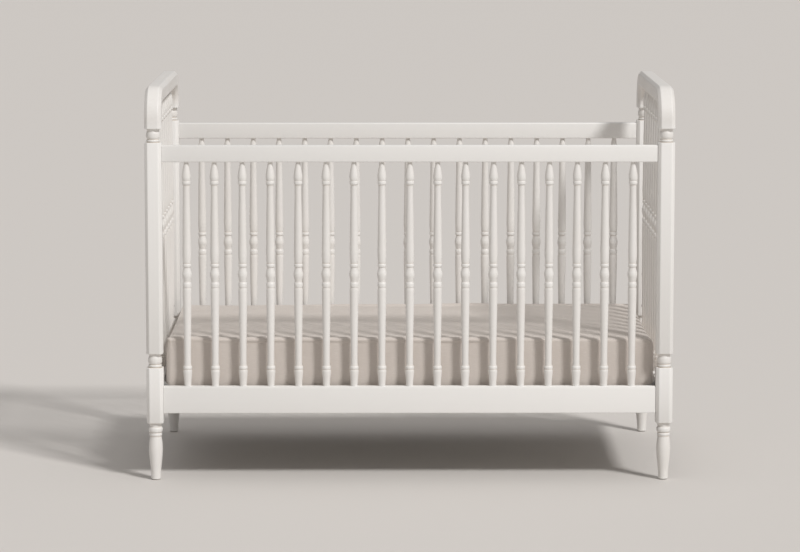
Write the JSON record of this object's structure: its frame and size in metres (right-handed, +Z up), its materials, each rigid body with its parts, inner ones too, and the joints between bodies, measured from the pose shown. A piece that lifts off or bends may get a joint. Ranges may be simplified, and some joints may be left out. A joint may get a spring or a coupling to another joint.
{
  "type": "baby crib",
  "caption": "Wooden baby crib with turned spindles on all sides, arched ends, tapered feet, and a height-adjustable steel mattress support with a sheeted mattress.",
  "frame": {"origin": "on the floor, under the middle of the crib", "axes": "+X along the crib's length, to the right as seen from the front; +Y from the front side to the back side; +Z up"},
  "size_m": [1.38, 0.78, 1.0335],
  "materials": {
    "painted_wood": "satin",
    "support_steel": "satin",
    "bolt_steel": "satin",
    "mattress_ticking": "matte",
    "sheet_jersey": "matte"
  },
  "bodies": {
    "crib": {"front_left_post": "painted_wood", "front_right_post": "painted_wood", "back_left_post": "painted_wood", "back_right_post": "painted_wood", "left_end_arch": "painted_wood", "right_end_arch": "painted_wood", "left_end_rail_and_spindles": "painted_wood", "right_end_rail_and_spindles": "painted_wood", "front_top_rail": "painted_wood", "front_bottom_rail": "painted_wood", "back_top_rail": "painted_wood", "back_bottom_rail": "painted_wood", "front_spindle_01": "painted_wood", "front_spindle_02": "painted_wood", "front_spindle_03": "painted_wood", "front_spindle_04": "painted_wood", "front_spindle_05": "painted_wood", "front_spindle_06": "painted_wood", "front_spindle_07": "painted_wood", "front_spindle_08": "painted_wood", "front_spindle_09": "painted_wood", "front_spindle_10": "painted_wood", "front_spindle_11": "painted_wood", "front_spindle_12": "painted_wood", "front_spindle_13": "painted_wood", "front_spindle_14": "painted_wood", "front_spindle_15": "painted_wood", "front_spindle_16": "painted_wood", "front_spindle_17": "painted_wood", "back_spindle_01": "painted_wood", "back_spindle_02": "painted_wood", "back_spindle_03": "painted_wood", "back_spindle_04": "painted_wood", "back_spindle_05": "painted_wood", "back_spindle_06": "painted_wood", "back_spindle_07": "painted_wood", "back_spindle_08": "painted_wood", "back_spindle_09": "painted_wood", "back_spindle_10": "painted_wood", "back_spindle_11": "painted_wood", "back_spindle_12": "painted_wood", "back_spindle_13": "painted_wood", "back_spindle_14": "painted_wood", "back_spindle_15": "painted_wood", "back_spindle_16": "painted_wood", "back_spindle_17": "painted_wood", "front_left_support_bolt": "bolt_steel", "front_right_support_bolt": "bolt_steel", "back_left_support_bolt": "bolt_steel", "back_right_support_bolt": "bolt_steel"},
    "support": {"support_frame": "support_steel", "wire_deck": "support_steel", "front_left_hanger": "support_steel", "front_right_hanger": "support_steel", "back_left_hanger": "support_steel", "back_right_hanger": "support_steel"},
    "mattress": {"mattress": "mattress_ticking", "fitted_sheet": "sheet_jersey"}
  },
  "joints": [
    {"name": "mattress_support_height", "type": "slide", "parent": "crib", "child": "support", "axis": [0, 0, 1], "range_m": [0, 0.27]},
    {"name": "mattress_lift", "type": "slide", "parent": "support", "child": "mattress", "axis": [0, 0, 1], "range_m": [0, 0.86]}
  ]
}
